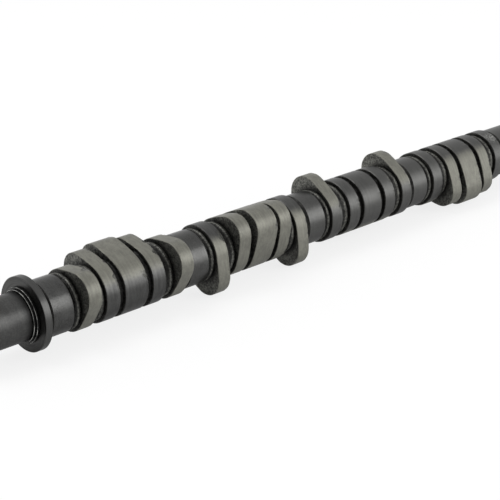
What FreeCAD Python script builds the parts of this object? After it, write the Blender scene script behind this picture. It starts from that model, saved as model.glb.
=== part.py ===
import FreeCAD, Part

import math
import os

# Camshaft of a four-cylinder engine, cast in one piece and ground on its journals and lobes.
# The axis is X. The nose that carries the pulley points to -X, and the shaft ends at +X
# in its rear journal. The origin is the centre of the front journal, and +Z is up as the
# shaft lies on a bench, carried by the lobes whose noses point down. Millimetres throughout.

# Bearings
cylinder_pitch = 84.0
journal_diameter = 28.8
journal_width = 13.4
rear_journal_width = 24.0

# Thrust flange and nose
flange_diameter = 37.1
flange_width = 3.75
flange_gap = 2.7
seal_step_diameter = 27.6
seal_step_width = 1.55
nose_step_diameter = 25.9
nose_step_width = 1.3
nose_diameter = 24.2
nose_length = 27.3
end_chamfer = 1.2

# Pulley bolt and key in the nose
bolt_tap_diameter = 8.8
bolt_hole_depth = 30.0
key_width = 5.0
key_depth = 2.6
key_seat_length = 14.0

# Lathe centre in the rear end
centre_mouth_diameter = 8.5
centre_pilot_diameter = 2.5
centre_angle = 60.0

# Cast core between the lobes, and the collars that stand in its wide gaps
core_diameter = 27.0
collar_diameter = 28.2
collar_width = 2.2
collar_slope = 0.5

# Places of the lobes along one cylinder, from the journal in front of it
first_gap = 3.6
wide_gap = 6.2
narrow_gap = 3.3
exhaust_width = 7.8
outer_width = 8.0
middle_width = 14.0

# Cam forms: a base circle and a nose circle, joined by flanks of one large radius
base_diameter = 31.5
exhaust_lift = 6.5
exhaust_nose_radius = 10.8
exhaust_flank_radius = 86.0
outer_lift = 6.0
outer_nose_radius = 9.8
outer_flank_radius = 56.0
middle_lift = 7.5
middle_nose_radius = 10.4
middle_flank_radius = 63.0

# Timing in degrees of the camshaft, turning about +X from +Y towards +Z
firing_order = (1, 3, 4, 2)
outer_intake_lag = 107.2
middle_intake_lag = 106.0

base_radius = base_diameter / 2
journal_radius = journal_diameter / 2
core_radius = core_diameter / 2
collar_radius = collar_diameter / 2
flange_radius = flange_diameter / 2
nose_radius = nose_diameter / 2
firing_step = 360.0 / len(firing_order)
last_journal = len(firing_order) + 1

origin = FreeCAD.Vector(0, 0, 0)
shaft_axis = FreeCAD.Vector(1, 0, 0)

exhaust = {"lift": exhaust_lift, "nose": exhaust_nose_radius, "flank": exhaust_flank_radius,
           "width": exhaust_width, "lag": 0.0}
outer_intake = {"lift": outer_lift, "nose": outer_nose_radius, "flank": outer_flank_radius,
                "width": outer_width, "lag": outer_intake_lag}
middle_intake = {"lift": middle_lift, "nose": middle_nose_radius, "flank": middle_flank_radius,
                 "width": middle_width, "lag": middle_intake_lag}

# Each row: the gap in front of the lobe, the form of the core there, and the lobe
lobe_row = (
    (first_gap, "rising", exhaust),
    (wide_gap, "collared", outer_intake),
    (narrow_gap, "plain", middle_intake),
    (narrow_gap, "plain", outer_intake),
    (wide_gap, "collared", exhaust),
)


def journal_rear(number):
    """Where the rear edge of a journal lies on X, counted from 1 at the front."""
    return journal_width / 2 + cylinder_pitch * (number - 1)


def journal_front(number):
    """Where the front edge of a journal lies on X."""
    return journal_rear(number) - journal_width


def flange_front():
    """Where the front face of the thrust flange lies on X."""
    return journal_front(1) - flange_gap - flange_width


def nose_end():
    """Where the shaft starts on X."""
    return flange_front() - seal_step_width - nose_step_width - nose_length


def rear_end():
    """Where the shaft ends on X."""
    return journal_front(last_journal) + rear_journal_width


def firing_turn(cylinder):
    """How far a cylinder's lobes are turned from those of the first one."""
    return -firing_step * firing_order.index(cylinder)


def nose_distance(lobe):
    """From the shaft's axis to the centre of the lobe's nose circle."""
    return base_radius + lobe["lift"] - lobe["nose"]


def resting_turn():
    """The first exhaust nose's angle when the shaft lies still: then the exhaust noses of
    the second cylinder and the middle intake nose of the third reach down equally far."""
    exhaust_angle = math.radians(firing_turn(2))
    middle_angle = math.radians(firing_turn(3) - middle_intake_lag)
    far_exhaust = nose_distance(exhaust)
    far_middle = nose_distance(middle_intake)
    sine_part = far_exhaust * math.cos(exhaust_angle) - far_middle * math.cos(middle_angle)
    cosine_part = far_exhaust * math.sin(exhaust_angle) - far_middle * math.sin(middle_angle)
    difference = exhaust_nose_radius - middle_nose_radius
    swing = math.asin(difference / math.hypot(sine_part, cosine_part))
    return 180.0 - math.degrees(swing + math.atan2(cosine_part, sine_part))


def cam_outline(lobe):
    """The closed outline in the YZ plane, with the nose pointing along +Y."""
    reach = nose_distance(lobe)
    to_base = lobe["flank"] - base_radius
    to_nose = lobe["flank"] - lobe["nose"]
    # Each flank's centre lies across the axis, at these distances from the other two centres
    centre_y = (to_base**2 - to_nose**2 + reach**2) / (2 * reach)
    centre_z = math.sqrt(to_base**2 - centre_y**2)
    base_angle = math.atan2(centre_z, -centre_y)
    nose_angle = math.atan2(centre_z, reach - centre_y)
    flank_angle = (base_angle + nose_angle) / 2

    def at(centre, radius, angle, side):
        y, z = centre
        return FreeCAD.Vector(0, y + radius * math.cos(angle), side * (z + radius * math.sin(angle)))

    def base_end(side):
        return at((0, 0), base_radius, base_angle, side)

    def nose_start(side):
        return at((reach, 0), lobe["nose"], nose_angle, side)

    def on_flank(side):
        return at((centre_y, -centre_z), lobe["flank"], flank_angle, side)

    tip = FreeCAD.Vector(0, base_radius + lobe["lift"], 0)
    heel = FreeCAD.Vector(0, -base_radius, 0)
    return Part.Wire([
        Part.Arc(base_end(-1), heel, base_end(1)).toShape(),
        Part.Arc(base_end(1), on_flank(1), nose_start(1)).toShape(),
        Part.Arc(nose_start(1), tip, nose_start(-1)).toShape(),
        Part.Arc(nose_start(-1), on_flank(-1), base_end(-1)).toShape(),
    ])


def cam_lobe(lobe, front, angle):
    """One lobe with its front face at the given X and its nose at the given angle."""
    solid = Part.Face(cam_outline(lobe)).extrude(shaft_axis * lobe["width"])
    solid.rotate(origin, shaft_axis, angle)
    solid.translate(shaft_axis * front)
    return solid


def cam_lobes():
    """All the lobes, cylinder by cylinder, each turned as the engine fires."""
    first_nose = resting_turn()
    lobes = []
    for cylinder in sorted(firing_order):
        x = journal_rear(cylinder)
        for gap, neck, lobe in lobe_row:
            x += gap
            lobes.append(cam_lobe(lobe, x, first_nose - lobe["lag"] + firing_turn(cylinder)))
            x += lobe["width"]
    return lobes


def journal_profile(front, rear):
    """The section of one journal, with its edges bevelled down to the core."""
    bevel = journal_radius - core_radius
    return [(front, core_radius), (front + bevel, journal_radius),
            (rear - bevel, journal_radius), (rear, core_radius)]


def neck_profile(face, form):
    """The section of the cast core in front of a lobe's face."""
    if form == "plain":
        return [(face, core_radius)]
    if form == "rising":
        return [(face, collar_radius)]
    edge = face - collar_width
    return [(edge - collar_slope, core_radius), (edge, collar_radius), (face, collar_radius)]


def nose_profile():
    """The section from the shaft's front end to the core behind the thrust flange."""
    flange_rear = flange_front() + flange_width
    seal_front = flange_front() - seal_step_width
    step_front = seal_front - nose_step_width
    step_radius = nose_step_diameter / 2
    seal_radius = seal_step_diameter / 2
    return [
        (nose_end(), 0),
        (nose_end(), nose_radius - end_chamfer),
        (nose_end() + end_chamfer, nose_radius),
        (step_front, nose_radius),
        (step_front, step_radius),
        (seal_front, step_radius),
        (seal_front, seal_radius),
        (flange_front(), seal_radius),
        (flange_front(), flange_radius),
        (flange_rear, flange_radius),
        (flange_rear, core_radius),
    ]


def shaft_profile():
    """The section of the whole shaft without its lobes, from the nose to the rear end."""
    points = nose_profile()
    points += journal_profile(journal_front(1), journal_rear(1))
    for cylinder in sorted(firing_order):
        x = journal_rear(cylinder)
        for gap, neck, lobe in lobe_row:
            x += gap
            points += neck_profile(x, neck)
            x += lobe["width"]
            points.append((x, core_radius))
        following = cylinder + 1
        points += journal_profile(journal_front(following), journal_rear(following))
    # The last journal runs on to the shaft's end
    points[-2:] = [
        (rear_end() - end_chamfer, journal_radius),
        (rear_end(), journal_radius - end_chamfer),
        (rear_end(), 0),
    ]
    return points


def turned(points):
    """A solid of revolution about X from the (x, radius) points of its section."""
    corners = [FreeCAD.Vector(x, 0, radius) for x, radius in points]
    face = Part.Face(Part.makePolygon(corners + corners[:1]))
    return face.revolve(origin, shaft_axis, 360)


def bolt_hole():
    """The hole for the pulley bolt, at the size that its thread is tapped in."""
    return Part.makeCylinder(bolt_tap_diameter / 2, bolt_hole_depth,
                             FreeCAD.Vector(nose_end(), 0, 0), shaft_axis)


def key_seat():
    """The slot for the pulley's key, open at the front and rounded where it stops. It lies
    midway between the exhaust and intake noses of the first cylinder."""
    floor = nose_radius - key_depth
    straight = key_seat_length - key_width / 2
    slot = Part.makeBox(straight, key_width, nose_radius,
                        FreeCAD.Vector(nose_end(), -key_width / 2, floor))
    stop = Part.makeCylinder(key_width / 2, nose_radius,
                             FreeCAD.Vector(nose_end() + straight, 0, floor))
    seat = slot.fuse(stop)
    seat.rotate(origin, shaft_axis, resting_turn() - outer_intake_lag / 2 - 90.0)
    return seat


def rear_centre():
    """The conical centre on which the shaft turned while it was ground."""
    mouth_radius = centre_mouth_diameter / 2
    pilot_radius = centre_pilot_diameter / 2
    depth = (mouth_radius - pilot_radius) / math.tan(math.radians(centre_angle / 2))
    return turned([
        (rear_end(), 0),
        (rear_end(), mouth_radius),
        (rear_end() - depth, pilot_radius),
        (rear_end() - depth, 0),
    ])


def camshaft():
    """The finished shaft: the turned body and its lobes as one casting, then its end holes."""
    casting = turned(shaft_profile()).fuse(cam_lobes())
    return casting.cut([bolt_hole(), key_seat(), rear_centre()]).removeSplitter()


os.makedirs("parts", exist_ok=True)
shaft = camshaft()
print("camshaft", shaft.isValid(), len(shaft.Solids), round(shaft.Volume))
shaft.exportStep("parts/camshaft.step")
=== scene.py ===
import math

import bmesh
import bpy
import numpy as np
from mathutils import Matrix, Vector, noise


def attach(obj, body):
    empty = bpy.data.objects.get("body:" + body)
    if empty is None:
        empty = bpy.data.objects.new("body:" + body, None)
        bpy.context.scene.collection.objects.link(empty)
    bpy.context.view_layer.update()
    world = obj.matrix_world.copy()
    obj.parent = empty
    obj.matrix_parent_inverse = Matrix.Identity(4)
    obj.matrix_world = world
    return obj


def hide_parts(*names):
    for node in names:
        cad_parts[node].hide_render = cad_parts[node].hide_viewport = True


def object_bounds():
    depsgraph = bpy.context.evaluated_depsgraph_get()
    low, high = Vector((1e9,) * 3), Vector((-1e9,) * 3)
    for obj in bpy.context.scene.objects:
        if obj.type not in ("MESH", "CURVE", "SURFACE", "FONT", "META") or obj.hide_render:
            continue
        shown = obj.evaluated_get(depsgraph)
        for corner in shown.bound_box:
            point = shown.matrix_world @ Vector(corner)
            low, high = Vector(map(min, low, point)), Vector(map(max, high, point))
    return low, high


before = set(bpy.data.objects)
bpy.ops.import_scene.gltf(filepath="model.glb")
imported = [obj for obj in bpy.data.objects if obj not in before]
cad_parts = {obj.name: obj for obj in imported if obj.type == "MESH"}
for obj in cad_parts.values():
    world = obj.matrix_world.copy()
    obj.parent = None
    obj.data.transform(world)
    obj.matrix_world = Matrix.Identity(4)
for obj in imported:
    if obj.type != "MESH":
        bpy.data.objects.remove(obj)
cad_low, cad_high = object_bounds()


# Camera
# The photograph looks along the shaft from the front left of its nose and from above, through
# a long lens, so that the far lobes come out about three quarters as large as the near ones.
camera_place = Vector((-0.35657, -0.51510, 0.30374))
camera_aim = Vector((0.14432, 0.01332, -0.01617))
camera_roll = math.radians(1.333)
camera_data = bpy.data.cameras.new("camera")
camera_data.sensor_width = 36.0
camera_data.lens = 105.02
camera_data.clip_end = 20.0
camera = bpy.data.objects.new("camera", camera_data)
bpy.context.scene.collection.objects.link(camera)
looking = (camera_aim - camera_place).to_track_quat("-Z", "Y").to_matrix().to_4x4()
camera.matrix_world = Matrix.Translation(camera_place) @ looking @ Matrix.Rotation(camera_roll, 4, "Z")
bpy.context.scene.camera = camera


# Casting
# The whole shaft is one iron casting. Where no tool has touched it, it is rough from the sand
# mould and speckled grey where it stands out, and painted shade turns it black deeper in the gaps.
ring_points = 160
grain_size = 0.0016
grain_steps = 3
grain_fade = 0.9
grain_ratio = 2.0
core_radius = 0.0135
collar_radius = 0.0141
base_radius = 0.01575
side_rise = 0.002
lip_fall = 0.001
fine_sand = 1000.0
coarse_sand = 350.0
sand_depth = 0.00026
# Painted shade makes the cast skin black deep in the gaps, leaving only a small share of grey.
deepest_grey_share = 0.08
painted_shade_black = (0.006, 0.006, 0.006, 1)
cast_grey = (0.19, 0.19, 0.172, 1)
grazing_tint = (0.85, 0.85, 0.85, 1)


class Signal:
    """A shader socket that carries a value, and grows a Math node for each operation on it."""

    def __init__(self, paint, socket):
        self.paint = paint
        self.socket = socket

    def math(self, operation, *values):
        return self.paint.node("ShaderNodeMath", {"operation": operation}, dict(enumerate(values)))

    def __add__(self, other):
        return self.math("ADD", self, other)

    def __sub__(self, other):
        return self.math("SUBTRACT", self, other)

    def __rsub__(self, other):
        return self.math("SUBTRACT", other, self)

    def __mul__(self, other):
        return self.math("MULTIPLY", self, other)

    def __truediv__(self, other):
        return self.math("DIVIDE", self, other)

    def __pow__(self, other):
        return self.math("POWER", self, other)

    __radd__ = __add__
    __rmul__ = __mul__


class Paint:
    """One node tree, written node by node."""

    def __init__(self, owner):
        owner.use_nodes = True
        self.tree = owner.node_tree
        self.tree.nodes.clear()

    def node(self, kind, settings=None, inputs=None, output=0):
        """Adds a node, sets it up, fills its sockets with values or links, and gives an output."""
        node = self.tree.nodes.new(kind)
        for name, value in (settings or {}).items():
            setattr(node, name, value)
        for name, value in (inputs or {}).items():
            if isinstance(value, Signal):
                self.tree.links.new(value.socket, node.inputs[name])
            else:
                node.inputs[name].default_value = value
        return Signal(self, node.outputs[output]) if node.outputs else None

    def place(self):
        """Where the shaded point lies in the shaft's frame, in metres."""
        return self.node("ShaderNodeTexCoord", output="Object")

    def split(self, vector):
        """The three parts of a vector."""
        parts = self.node("ShaderNodeSeparateXYZ", inputs={0: vector})
        return [Signal(self, socket) for socket in parts.socket.node.outputs]

    def joined(self, x, y, z):
        """A vector from three values."""
        return self.node("ShaderNodeCombineXYZ", inputs={0: x, 1: y, 2: z})

    def outwards(self):
        """How far the shaded point lies from the shaft's axis."""
        x, y, z = self.split(self.place())
        return (y * y + z * z) ** 0.5

    def noise(self, vector, scale, detail=2.0, roughness=0.5):
        """Smooth noise about 0.5 on a vector in metres, scale times per metre."""
        return self.node("ShaderNodeTexNoise", inputs={
            "Vector": vector, "Scale": scale, "Detail": detail, "Roughness": roughness})

    def step(self, value, low, high):
        """0 below low, 1 above high, and a smooth rise between them."""
        return self.node("ShaderNodeMapRange", {"interpolation_type": "SMOOTHSTEP"},
                         {"Value": value, "From Min": low, "From Max": high})

    def mix(self, share, one, other):
        """A colour between two colours."""
        return self.node("ShaderNodeMix", {"data_type": "RGBA"}, {0: share, 6: one, 7: other}, output=2)

    def bumped(self, height, depth):
        """A normal from a height between 0 and 1 that stands for a depth in metres."""
        return self.node("ShaderNodeBump", inputs={"Height": height, "Distance": depth, "Strength": 1.0})

    def shader(self, **inputs):
        """The surface itself. Underscores in the names stand for blanks."""
        sockets = {name.replace("_", " "): value for name, value in inputs.items()}
        surface = self.node("ShaderNodeBsdfPrincipled", inputs=sockets)
        self.node("ShaderNodeOutputMaterial", inputs={"Surface": surface})


def sand_cast(name, deep, proud, grey_outwards):
    """The skin from the mould. Painted shade makes it black at one distance from the axis, and it
    grows lighter up to another, where a share of its grains is rubbed bare."""
    material = bpy.data.materials.new(name)
    paint = Paint(material)
    place = paint.place()
    relief = paint.noise(place, fine_sand, 5.0, 0.7) * 0.75 + paint.noise(place, coarse_sand, 3.0) * 0.25
    speckle = paint.step(relief, 0.40, 0.60)
    # Painted shade: the skin darkens towards the axis, in the depth of the gaps.
    out_of_shade = paint.step(paint.outwards(), deep, proud)
    bare = (speckle * 0.75 + 0.25) * (deepest_grey_share + out_of_shade * grey_outwards)
    paint.shader(Base_Color=paint.mix(bare, painted_shade_black, cast_grey), Metallic=0.8,
                 Roughness=0.5 - speckle * 0.08, Normal=paint.bumped(relief, sand_depth),
                 Specular_Tint=grazing_tint)
    return material


class Blank:
    """The skin of the shaft, grown ring by ring round the X axis from its front to its rear."""

    def __init__(self):
        self.points = []
        self.faces = []
        self.finishes = []
        self.last = None

    def ring(self, x, radius, finish, grain=(0.0, 0.0), points=ring_points):
        """Adds a ring at x. grain is how far the mould's sand moves it along X and outwards."""
        turn = np.arange(points) * (2 * math.pi / points)
        x = np.broadcast_to(np.asarray(x, float), points).copy()
        radius = np.broadcast_to(np.asarray(radius, float), points).copy()
        if any(grain):
            sand = sand_at(x, radius, turn)
            x += grain[0] * sand
            radius += grain[1] * sand
        first = len(self.points)
        self.points.extend(zip(x, radius * np.cos(turn), radius * np.sin(turn)))
        here = range(first, first + points)
        if self.last is not None:
            self.join(self.last, here, finish)
        self.last = here

    def join(self, before, after, finish):
        """A band of quads between two rings, or of triangles where one has twice the points."""
        count, most = min(len(before), len(after)), max(len(before), len(after))
        for i in range(count):
            j = (i + 1) % count
            if len(before) == len(after):
                self.faces.append((before[i], before[j], after[j], after[i]))
                self.finishes.append(finish)
                continue
            few, many = (before, after) if len(before) < len(after) else (after, before)
            middle, end = 2 * i + 1, (2 * i + 2) % most
            fans = [(few[i], many[middle], many[2 * i]), (few[i], few[j], many[middle]),
                    (few[j], many[end], many[middle])]
            if few is after:
                fans = [fan[::-1] for fan in fans]
            self.faces.extend(fans)
            self.finishes.extend([finish] * len(fans))

    def cap(self, finish, at_start=False):
        """Closes the skin over its last ring, or over its first one."""
        ring = list(self.last)
        if at_start:
            ring = list(range(len(ring)))[::-1]
        self.faces.append(tuple(ring))
        self.finishes.append(finish)


def sand_at(x, radius, turn, size=grain_size):
    """The grain of the sand mould, between about -1 and 1, at each point of a ring."""
    places = zip(x / size, radius * np.cos(turn) / size, radius * np.sin(turn) / size)
    return np.array([noise.fractal(Vector(place), grain_fade, grain_ratio, grain_steps)
                     for place in places])


# Each skin is grey where it stands out and carries painted shade deeper in.
neck_skin = sand_cast("cast_neck", core_radius, collar_radius, grey_outwards=0.52)
side_skin = sand_cast("cast_side", core_radius, base_radius + side_rise, grey_outwards=0.90)
lip_skin = sand_cast("cast_lip", core_radius - lip_fall, core_radius, grey_outwards=0.75)
# The journal bevels get a skin that is almost wholly painted shade.
painted_shade_skin = sand_cast("cast_painted_shade", core_radius, collar_radius, grey_outwards=0.05)
blank = Blank()


# Bolt hole
# The pulley bolt screws into the nose from the front. The hole is drilled and tapped 10 mm by
# 1.25 mm, with its mouth countersunk; the thread runs out before the flat bottom.
cylinder_pitch = 0.084
journal_width = 0.0134
flange_gap = 0.0027
flange_width = 0.00375
seal_step_width = 0.00155
nose_step_width = 0.0013
nose_length = 0.0273
flange_rear = -journal_width / 2 - flange_gap
flange_front = flange_rear - flange_width
nose_root = flange_front - seal_step_width - nose_step_width
nose_end = nose_root - nose_length
tap_radius = 0.0044
thread_depth = 0.00062
thread_pitch = 0.00125
thread_turns = 17
bolt_hole_depth = 0.030
bolt_mouth_radius = 0.0053
hole_points = ring_points // 2
steps_per_turn = 6
flank_slope = 1.3
crest_cut = 0.15
tapped_dark = (0.05, 0.05, 0.048, 1)
tapped_light = (0.10, 0.10, 0.095, 1)


def tapped_hole():
    """Bare thread flanks, oiled and dark."""
    material = bpy.data.materials.new("tapped_hole")
    paint = Paint(material)
    lines = paint.noise(paint.place(), 900.0, 3.0)
    paint.shader(Base_Color=paint.mix(lines, tapped_dark, tapped_light), Metallic=0.85,
                 Roughness=0.36 + lines * 0.1, Normal=paint.bumped(lines, 0.00001))
    return material


tapped = tapped_hole()
hole_bottom = nose_end + bolt_hole_depth
hole_turn = np.arange(hole_points) / hole_points
thread_end = nose_end + thread_turns * thread_pitch
blank.ring(hole_bottom, tap_radius, tapped, points=hole_points)
blank.cap(tapped, at_start=True)
mouth_end = nose_end + bolt_mouth_radius - tap_radius
for step in range(thread_turns * steps_per_turn, -1, -1):
    x = nose_end + step * thread_pitch / steps_per_turn
    if x <= mouth_end:
        break
    wave = np.abs(((x - nose_end) / thread_pitch - hole_turn) % 1 * 2 - 1)
    run_out = min(1, (thread_end - x) / (2 * thread_pitch))
    cut = np.clip(wave * flank_slope - crest_cut, 0, 1) * run_out
    blank.ring(x, tap_radius + thread_depth * cut, tapped, points=hole_points)
blank.ring(mouth_end, tap_radius, tapped, points=hole_points)
blank.ring(nose_end, bolt_mouth_radius, tapped, points=hole_points)


# Nose and thrust flange
# The nose is turned and ground for the timing pulley, with two shallow steps behind it for the
# pulley's seat and the shaft seal. The flange next to them holds the shaft lengthwise. All of
# it was darkened in a phosphate bath, and handling has worn the edges bright.
nose_radius = 0.0121
end_chamfer = 0.0012
nose_step_radius = 0.01295
seal_step_radius = 0.0138
flange_radius = 0.01855
edge_break = 0.0002
step_break = 0.00017
root_groove = 0.0004
# Painted shade darkens the film over the nose's rear and the two steps in front of the flange.
root_shade_reach = 0.005
root_fade = 0.001
film_dark = (0.046, 0.046, 0.045, 1)
film_light = (0.078, 0.078, 0.076, 1)
painted_shade_film = (0.020, 0.020, 0.020, 1)
# The film grows lighter towards the shaft's rear, between two places along it.
film_rear = (0.092, 0.092, 0.088, 1)
lighter_from = 0.04
lighter_to = 0.28
lighter_share = 0.5
crystal_scale = 1300.0
bare_iron = (0.42, 0.42, 0.40, 1)


def tool_lines(paint, pitch, drift):
    """Fine lines round the axis, as a grinding wheel or a turning tool leaves them: they vary
    quickly along X and outwards, once in each pitch, and slowly round the shaft."""
    x, y, z = paint.split(paint.place())
    outwards = paint.outwards()
    lines = paint.joined(x / pitch, outwards / pitch, (y - z * 0.6) / drift)
    return paint.noise(lines, 1.0, 3.0, 0.62)


def film_colour(paint, tone, to_rear):
    """The dark film, lighter towards the shaft's rear."""
    film = paint.mix(tone, film_dark, film_light)
    return paint.mix(to_rear * lighter_share, film, film_rear)


def ground():
    """A fine dark satin with faint lines round it. Painted shade darkens the film in the nose's root,
    and the film is lighter and duller towards the shaft's rear."""
    material = bpy.data.materials.new("ground_and_darkened")
    paint = Paint(material)
    lines = tool_lines(paint, 0.0011, 0.012)
    clouds = paint.noise(paint.place(), 130.0, 4.0, 0.6)
    crystals = paint.noise(paint.place(), crystal_scale, 3.0, 0.6)
    tone = paint.step(lines * 0.25 + clouds * 0.35 + crystals * 0.4, 0.34, 0.66)
    x = paint.split(paint.place())[0]
    past_flange = paint.step(x, flange_rear, flange_rear + root_fade)
    # Painted shade in the corner at the nose's root.
    root = paint.step(x, nose_root - root_shade_reach, nose_root) * (1 - past_flange)
    nose = 1 - paint.step(x, nose_root, flange_rear)
    to_rear = paint.step(x, lighter_from, lighter_to)
    rear_lighter_film = film_colour(paint, tone, to_rear)
    rough = 0.20 + clouds * 0.10 + crystals * 0.08 + nose * 0.10 + to_rear * 0.07
    paint.shader(Base_Color=paint.mix(root, rear_lighter_film, painted_shade_film), Metallic=0.95, Roughness=rough,
                 Normal=paint.bumped(lines, 0.000006), Specular_Tint=grazing_tint)
    return material


def turned(name, dark, light):
    """The same dark film on coarser lines from the lathe."""
    material = bpy.data.materials.new(name)
    paint = Paint(material)
    lines = tool_lines(paint, 0.0006, 0.02)
    tone = paint.step(lines, 0.3, 0.7)
    paint.shader(Base_Color=paint.mix(tone, dark, light), Metallic=0.95,
                 Roughness=0.26 + lines * 0.10, Normal=paint.bumped(lines, 0.000012),
                 Specular_Tint=grazing_tint)
    return material


def worn():
    """Edges where the film is rubbed off in patches, alike all round."""
    material = bpy.data.materials.new("worn_edge")
    paint = Paint(material)
    patches = paint.step(paint.noise(paint.place(), 260.0, 4.0, 0.6), 0.42, 0.56)
    bare = 0.12 + patches * 0.88
    paint.shader(Base_Color=paint.mix(bare, film_dark, bare_iron), Metallic=0.9,
                 Roughness=0.44 - bare * 0.06, Specular_Tint=grazing_tint)
    return material


ground_film = ground()
turned_film = turned("turned_and_darkened", film_dark, film_light)
# The steps carry painted shade: their film is darker than the rest.
shaded_step_film = turned("turned_steps_painted_shade", painted_shade_film, film_dark)
worn_edge = worn()


def shoulder(x, low, high, finish):
    """A step face at x from one radius up to a larger one, with its edge worn."""
    blank.ring(x, low - root_groove / 2, finish)
    blank.ring(x, high - step_break, finish)
    blank.ring(x + step_break, high, worn_edge)


blank.ring(nose_end, nose_radius - end_chamfer - edge_break, turned_film)
blank.ring(nose_end + edge_break, nose_radius - end_chamfer, worn_edge)
blank.ring(nose_end + end_chamfer, nose_radius, turned_film)
blank.ring(nose_end + nose_length / 2, nose_radius, ground_film)
blank.ring(nose_root - root_groove, nose_radius, ground_film)
shoulder(nose_root, nose_radius, nose_step_radius, shaded_step_film)
step_rear = nose_root + nose_step_width
blank.ring(step_rear - root_groove, nose_step_radius, shaded_step_film)
shoulder(step_rear, nose_step_radius, seal_step_radius, shaded_step_film)
blank.ring(flange_front - root_groove, seal_step_radius, shaded_step_film)
blank.ring(flange_front, seal_step_radius - root_groove / 2, shaded_step_film)
for share in (0.2, 0.5, 0.8):
    blank.ring(flange_front, seal_step_radius + share * (flange_radius - seal_step_radius), turned_film)
blank.ring(flange_front, flange_radius - edge_break, turned_film)
blank.ring(flange_front + edge_break, flange_radius, turned_film)
blank.ring(flange_rear - edge_break, flange_radius, turned_film)
blank.ring(flange_rear, flange_radius - edge_break, turned_film)
for share in (0.6, 0.2):
    blank.ring(flange_rear, core_radius + share * (flange_radius - core_radius), turned_film)


# Necks
# Between the machined stretches the casting is left as it came from the mould. Wide gaps and
# the ones behind the journals hold a raised ring next to the following lobe, narrow gaps are
# plain.
collar_width = 0.0022
collar_slope = 0.0005
collar_foot = 0.0008
lip_width = 0.0004
lip_rise = 0.0001
groove_depth = 0.0004
neck_grain = 0.00022


def neck(front, rear, form):
    """The cast core from one lobe's or journal's rear to the next one's front."""
    grain = (0.0, neck_grain)
    if form == "plain":
        for share in (0.35, 0.65):
            blank.ring(front + share * (rear - front), core_radius, neck_skin, grain)
        return
    edge = rear - collar_width
    floor = core_radius - (groove_depth if form == "rising" else 0)
    for share in (0.3, 0.65, 0.9):
        blank.ring(front + share * (edge - collar_slope - front), floor, neck_skin, grain)
    blank.ring(edge, collar_radius - lip_rise, neck_skin, grain)
    blank.ring(edge + lip_width, collar_radius + lip_rise, lip_skin, grain)
    blank.ring(rear - collar_foot, collar_radius, neck_skin, grain)


# Journals
# Five bearing journals are ground round and darkened like the nose. Each ends in bevels that
# run down to the cast core, and the rear one reaches the shaft's end.
journal_radius = 0.0144
rear_journal_width = 0.024
bevel = journal_radius - core_radius


def journal_start(front):
    """The bevel up from the core, as cast and black with painted shade, and the broken edge behind it.
    """
    blank.ring(front, core_radius, neck_skin)
    blank.ring(front + bevel - edge_break / 2, journal_radius - edge_break / 2, painted_shade_skin)
    blank.ring(front + bevel + edge_break / 2, journal_radius, painted_shade_skin)


def journal(front, rear):
    """The ground stretch of a journal with the bevels at both its ends."""
    journal_start(front)
    for share in (0.3, 0.5, 0.7):
        blank.ring(front + share * (rear - front), journal_radius, ground_film)
    blank.ring(rear - bevel - edge_break / 2, journal_radius, ground_film)
    blank.ring(rear - bevel + edge_break / 2, journal_radius - edge_break / 2, turned_film)
    blank.ring(rear, core_radius, turned_film)


# Lobes
# Each cylinder has two exhaust lobes at the ends and three intake lobes between them, the
# middle one wide and high. Their tracks are ground, their sides stay as cast. The line between
# the two wanders with the grain, and towards the rear the wheel left more of the cast edge.
exhaust = {"lift": 0.0065, "nose": 0.0108, "flank": 0.086, "width": 0.0078, "lag": 0.0,
           "lean": -6}
outer_intake = {"lift": 0.006, "nose": 0.0098, "flank": 0.056, "width": 0.008, "lag": 107.2,
                "lean": 9}
middle_intake = {"lift": 0.0075, "nose": 0.0104, "flank": 0.063, "width": 0.014, "lag": 106.0,
                 "lean": 9}
first_gap = 0.0036
wide_gap = 0.0062
narrow_gap = 0.0033
lobe_row = (
    (first_gap, "rising", exhaust),
    (wide_gap, "collared", outer_intake),
    (narrow_gap, "plain", middle_intake),
    (narrow_gap, "plain", outer_intake),
    (wide_gap, "collared", exhaust),
)
firing_order = (1, 3, 4, 2)
first_nose = 145.809
ring_turn = np.arange(ring_points) * (2 * math.pi / ring_points)
side_shares = (0.1, 0.26, 0.44, 0.62, 0.8)
side_grain = 0.00016
fillet = 0.0007
fillet_start = 0.25
corner_grain = 0.6
corner_width = 0.00022
corner_wander = 0.00014
bite_size = 0.0048
bite_depth = 0.0030
bite_least = 0.28
bite_more = 0.5
bare_to = 109.0
bare_from = 87.0
bare_blur = 0.25
iron_dark = (0.118, 0.117, 0.100, 1)
iron_light = (0.180, 0.178, 0.151, 1)
scuffed_at = (0.3235, -0.0067, 0.0143)
scuffed_reach = 0.0052
scuffed_share = 0.6


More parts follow.
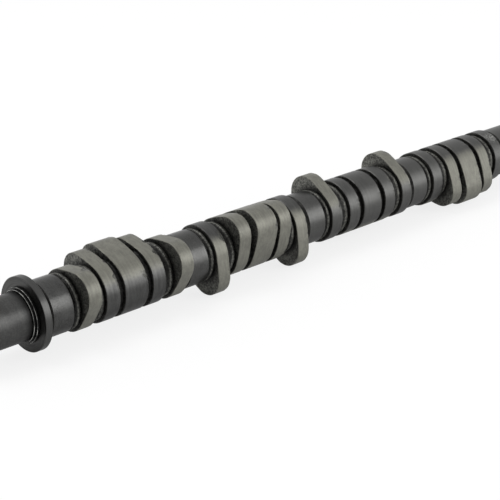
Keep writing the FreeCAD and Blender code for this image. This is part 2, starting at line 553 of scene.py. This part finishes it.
def polished_track(nose_angle, lean):
    """The ground track of the lobes whose noses point one way. The followers have worn the
    dark film off the noses and flanks, down to warm grey iron. On the base circle it stays.
    The worn stretch leans a little round the shaft from the nose, and the last track is scuffed
    in one place."""
    material = bpy.data.materials.new(f"polished_track_{round(math.degrees(nose_angle)) % 360:03d}")
    paint = Paint(material)
    lines = tool_lines(paint, 0.0013, 0.009)
    clouds = paint.noise(paint.place(), 150.0, 4.0, 0.6)
    x, y, z = paint.split(paint.place())
    worn_turn = nose_angle + math.radians(lean)
    towards_worn = (y * math.cos(worn_turn) + z * math.sin(worn_turn)) / paint.outwards()
    bare = paint.step(towards_worn + (clouds - 0.5) * bare_blur,
                      math.cos(math.radians(bare_to)), math.cos(math.radians(bare_from)))
    crystals = paint.noise(paint.place(), crystal_scale, 3.0, 0.6)
    tone = paint.step(lines * 0.5 + clouds * 0.25 + crystals * 0.25, 0.36, 0.64)
    to_rear = paint.step(x, lighter_from, lighter_to)
    rear_lighter_film = film_colour(paint, tone, to_rear)
    iron = paint.mix(tone, iron_dark, iron_light)
    reach = paint.node("ShaderNodeVectorMath", {"operation": "DISTANCE"},
                       {0: paint.place(), 1: scuffed_at}, output="Value")
    near = 1 - paint.step(reach, scuffed_reach / 3, scuffed_reach)
    scuffs = paint.step(crystals, 0.46, 0.60) * near * scuffed_share
    rough = 0.28 + lines * 0.08 + bare * 0.11 + to_rear * 0.06
    track = paint.mix(scuffs, paint.mix(bare, rear_lighter_film, iron), bare_iron)
    paint.shader(Base_Color=track, Metallic=0.95 - bare * 0.4, Roughness=rough,
                 Normal=paint.bumped(lines, 0.000014), Specular_Tint=grazing_tint)
    return material


def lobe_radius(lobe, nose_angle):
    """How far the track stands from the axis at each point of a ring: a base circle and a nose
    circle, joined by flanks of one large radius."""
    turn = np.abs((ring_turn - nose_angle + math.pi) % (2 * math.pi) - math.pi)
    reach = base_radius + lobe["lift"] - lobe["nose"]
    to_base = lobe["flank"] - base_radius
    to_nose = lobe["flank"] - lobe["nose"]
    flank_y = (to_base**2 - to_nose**2 + reach**2) / (2 * reach)
    flank_z = math.sqrt(to_base**2 - flank_y**2)
    base_from = math.atan2(flank_z, -flank_y)
    tangent = math.atan2(flank_z, reach - flank_y)
    nose_to = math.atan2(lobe["nose"] * math.sin(tangent), reach + lobe["nose"] * math.cos(tangent))
    across_nose = np.maximum(lobe["nose"] ** 2 - (reach * np.sin(turn)) ** 2, 0)
    on_nose = reach * np.cos(turn) + np.sqrt(across_nose)
    along = flank_y * np.cos(turn) - flank_z * np.sin(turn)
    across = flank_y * np.sin(turn) + flank_z * np.cos(turn)
    on_flank = along + np.sqrt(lobe["flank"] ** 2 - across**2)
    radius = np.where(turn < nose_to, on_nose, on_flank)
    return np.where(turn > base_from, base_radius, radius)


def lobe_side(x, way, outline, rising):
    """One cast side of a lobe. way is the side that it faces along X, and rising says whether
    the rings run outwards from the neck or back in to it."""
    corner = outline - corner_width
    rings = [(x + way * fillet * fillet_start, core_radius + fillet * fillet_start, neck_grain)]
    rings += [(x, core_radius + fillet + share * (corner - core_radius - fillet), side_grain)
              for share in side_shares]
    rings.append((x, corner, corner_grain * side_grain))
    for place, radius, grain in rings if rising else rings[::-1]:
        blank.ring(place, radius, side_skin, (grain, 0.0))


def cam_lobe(lobe, front, nose_angle, track):
    """One lobe with its front side at the given X and its nose at the given angle."""
    outline = lobe_radius(lobe, nose_angle)
    rear = front + lobe["width"]

    def wander(x):
        """How far the grain moves the track's edge at x."""
        return np.abs(corner_wander * sand_at(np.full(ring_points, x), outline, ring_turn))

    lobe_side(front, -1, outline, rising=True)
    blank.ring(front + corner_width + wander(front), outline, track)
    for share in (0.3, 0.5, 0.7):
        blank.ring(front + share * lobe["width"], outline, track)
    sand = sand_at(np.full(ring_points, rear), outline, ring_turn, bite_size)
    bites = bite_depth * np.clip(sand - bite_least + bite_more * rear, 0, 1)
    blank.ring(rear - corner_width - wander(rear) - bites, outline, track)
    lobe_side(rear, 1, outline, rising=False)


# Row of bearings and lobes
# The first journal stands behind the flange. Behind each journal follows one cylinder's set of
# five lobes, turned by a quarter from set to set in the engine's firing order.
tracks = {}
neck(flange_rear, -journal_width / 2, "plain")
journal(-journal_width / 2, journal_width / 2)
for cylinder in sorted(firing_order):
    x = journal_width / 2 + cylinder_pitch * (cylinder - 1)
    set_turn = -360 / len(firing_order) * firing_order.index(cylinder)
    for gap, form, lobe in lobe_row:
        neck(x, x + gap, form)
        x += gap
        nose_angle = math.radians(first_nose - lobe["lag"] + set_turn)
        if nose_angle not in tracks:
            tracks[nose_angle] = polished_track(nose_angle, lobe["lean"])
        cam_lobe(lobe, x, nose_angle, tracks[nose_angle])
        x += lobe["width"]
    rear = journal_width / 2 + cylinder_pitch * cylinder
    front = rear - journal_width
    neck(x, front, "plain")
    if cylinder < len(firing_order):
        journal(front, rear)


# Rear end
# The last journal runs on to the shaft's end, which holds the lathe centre on which the shaft
# turned while it was ground.
rear_end = front + rear_journal_width
centre_radius = 0.00425
pilot_radius = 0.00125
pilot_depth = 0.004
cone_half_angle = 30
cone_depth = (centre_radius - pilot_radius) / math.tan(math.radians(cone_half_angle))
journal_start(front)
for share in (0.3, 0.6):
    blank.ring(front + share * rear_journal_width, journal_radius, ground_film)
blank.ring(rear_end - end_chamfer, journal_radius, ground_film)
blank.ring(rear_end - edge_break, journal_radius - end_chamfer + edge_break, turned_film)
blank.ring(rear_end, journal_radius - end_chamfer - edge_break, worn_edge)
blank.ring(rear_end, (journal_radius + centre_radius) / 2, turned_film)
blank.ring(rear_end, centre_radius, turned_film, points=hole_points)
blank.ring(rear_end - cone_depth, pilot_radius, turned_film, points=hole_points)
blank.ring(rear_end - cone_depth - pilot_depth, pilot_radius, turned_film, points=hole_points)
blank.cap(turned_film)

shaft_mesh = bpy.data.meshes.new("camshaft_casting")
shaft_mesh.from_pydata(blank.points, [], blank.faces)
slots = {finish: i for i, finish in enumerate(dict.fromkeys(blank.finishes))}
for finish in slots:
    shaft_mesh.materials.append(finish)
shaft_mesh.polygons.foreach_set("material_index", [slots[finish] for finish in blank.finishes])
shaft = bpy.data.objects.new("camshaft_casting", shaft_mesh)
bpy.context.scene.collection.objects.link(shaft)
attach(shaft, "root")
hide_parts("camshaft")


# Key seat
# A slot milled into the nose from its front end takes the pulley's key. It stops in the round
# end that the cutter leaves, midway between the exhaust and intake noses of the first cylinder.
key_width = 0.005
key_depth = 0.0026
key_seat_length = 0.014
stop_points = 13
room_in_front = 0.001
room_above = 0.002


def key_cutter():
    """The milled space: a rectangle with one round end, as deep as the seat and open above."""
    start = nose_end - room_in_front
    straight = nose_end + key_seat_length - key_width / 2
    outline = [(start, key_width / 2), (start, -key_width / 2)]
    for i in range(stop_points):
        turn = -math.pi / 2 + math.pi * i / (stop_points - 1)
        outline.append((straight + key_width / 2 * math.cos(turn), key_width / 2 * math.sin(turn)))
    count = len(outline)
    levels = (nose_radius - key_depth, nose_radius + room_above)
    points = [(x, y, z) for z in levels for x, y in outline]
    faces = [tuple(range(count))[::-1], tuple(range(count, 2 * count))]
    faces += [(i, (i + 1) % count, count + (i + 1) % count, count + i) for i in range(count)]
    mesh = bpy.data.meshes.new("key_cutter")
    mesh.from_pydata(points, [], faces)
    mesh.materials.append(turned_film)
    seat_turn = first_nose - outer_intake["lag"] / 2 - 90
    mesh.transform(Matrix.Rotation(math.radians(seat_turn), 4, "X"))
    cutter = bpy.data.objects.new("key_cutter", mesh)
    bpy.context.scene.collection.objects.link(cutter)
    return cutter


cutter = key_cutter()
milling = shaft.modifiers.new("key_seat", "BOOLEAN")
milling.operation = "DIFFERENCE"
milling.solver = "EXACT"
milling.material_mode = "TRANSFER"
milling.object = cutter
milled = bpy.data.meshes.new_from_object(shaft.evaluated_get(bpy.context.evaluated_depsgraph_get()))
shaft.modifiers.clear()
shaft.data = milled
bpy.data.meshes.remove(shaft_mesh)
bpy.data.objects.remove(cutter)
milled.name = "camshaft_casting"

# Crisp edges stay between machined faces, and the grain of the casting is shaded smooth
crisp = math.radians(24)
grain_limit = math.radians(60)
as_cast = {milled.materials.find(skin.name) for skin in (neck_skin, side_skin, lip_skin, painted_shade_skin)}
skin = bmesh.new()
skin.from_mesh(milled)
for face in skin.faces:
    face.smooth = True
for edge in skin.edges:
    rough = all(face.material_index in as_cast for face in edge.link_faces)
    edge.smooth = edge.calc_face_angle(0) < (grain_limit if rough else crisp)
skin.to_mesh(milled)
skin.free()


# Floor and light
# A white floor carries the shaft on its lowest lobes. Two soft boxes stand at the front right,
# one of them low, and a third hangs high behind the nose. The walls are white on all sides but
# one, which is dark and gives the polished iron something to mirror.
floor_reach = 6.0
floor_level = cad_low.z
middle = (cad_low + cad_high) / 2
white = (1, 1, 1, 1)
paper_white = (0.88, 0.88, 0.88, 1)
plain_seen = 0.8
plain_mirrored = 0.16
lamp_distance = 1.8
dimmed_above = 0.06
dimmed_wall = 0.7


def pale_floor():
    """White paper. A part of what the camera and the polished iron see is plain white, so that
    it comes out white and still keeps the shaft's shadow."""
    material = bpy.data.materials.new("pale_floor")
    paint = Paint(material)
    paper = paint.node("ShaderNodeBsdfDiffuse", inputs={"Color": paper_white})
    plain = paint.node("ShaderNodeEmission", inputs={"Color": white, "Strength": 1.0})
    plain_share = paint.node("ShaderNodeLightPath", output="Is Camera Ray") * plain_seen
    for ray in ("Is Glossy Ray", "Is Transmission Ray"):
        plain_share = plain_share + paint.node("ShaderNodeLightPath", output=ray) * plain_mirrored
    surface = paint.node("ShaderNodeMixShader", inputs={0: plain_share, 1: paper, 2: plain})
    paint.node("ShaderNodeOutputMaterial", inputs={"Surface": surface})
    return material


def soft_lamp(name, azimuth, elevation, width, height, strength):
    """A soft box that faces the shaft. Azimuth is counted in degrees from -Y towards +X."""
    flat = math.cos(math.radians(elevation))
    way = Vector((math.sin(math.radians(azimuth)) * flat, -math.cos(math.radians(azimuth)) * flat,
                  math.sin(math.radians(elevation))))
    data = bpy.data.lights.new(name, "AREA")
    data.shape = "RECTANGLE"
    data.size = width
    data.size_y = height
    data.energy = strength * width * height * math.pi
    lamp = bpy.data.objects.new(name, data)
    bpy.context.scene.collection.objects.link(lamp)
    facing = way.to_track_quat("Z", "Y").to_matrix().to_4x4()
    lamp.matrix_world = Matrix.Translation(middle + lamp_distance * way) @ facing


def studio_air(world):
    """The studio's walls: white round the floor, a little darker above, and dark at the front
    beyond the nose."""
    paint = Paint(world)
    x, y, z = paint.split(paint.node("ShaderNodeTexCoord", output="Generated"))
    above = paint.step(z, 0.3, 0.8) * dimmed_above
    beyond_nose = paint.step(x * -0.7 - y * 0.7, 0.1, 0.8) * dimmed_wall
    level = (1.0 - above) * (1.0 - beyond_nose)
    air = paint.node("ShaderNodeBackground", inputs={"Color": white, "Strength": level})
    paint.node("ShaderNodeOutputWorld", inputs={"Surface": air})


corners = [(-1, -1), (1, -1), (1, 1), (-1, 1)]
floor_mesh = bpy.data.meshes.new("floor")
floor_mesh.from_pydata([(floor_reach * x, floor_reach * y, floor_level) for x, y in corners], [],
                       [(0, 1, 2, 3)])
floor = bpy.data.objects.new("floor", floor_mesh)
bpy.context.scene.collection.objects.link(floor)
floor_mesh.materials.append(pale_floor())

soft_lamp("key_lamp", 36, 28, width=1.0, height=0.9, strength=3.3)
soft_lamp("low_lamp", 42, 7, width=1.4, height=0.6, strength=2.0)
soft_lamp("back_lamp", -135, 66, width=1.0, height=1.0, strength=3.2)

world = bpy.data.worlds.new("studio")
bpy.context.scene.world = world
studio_air(world)

bpy.context.scene.view_settings.view_transform = "Standard"
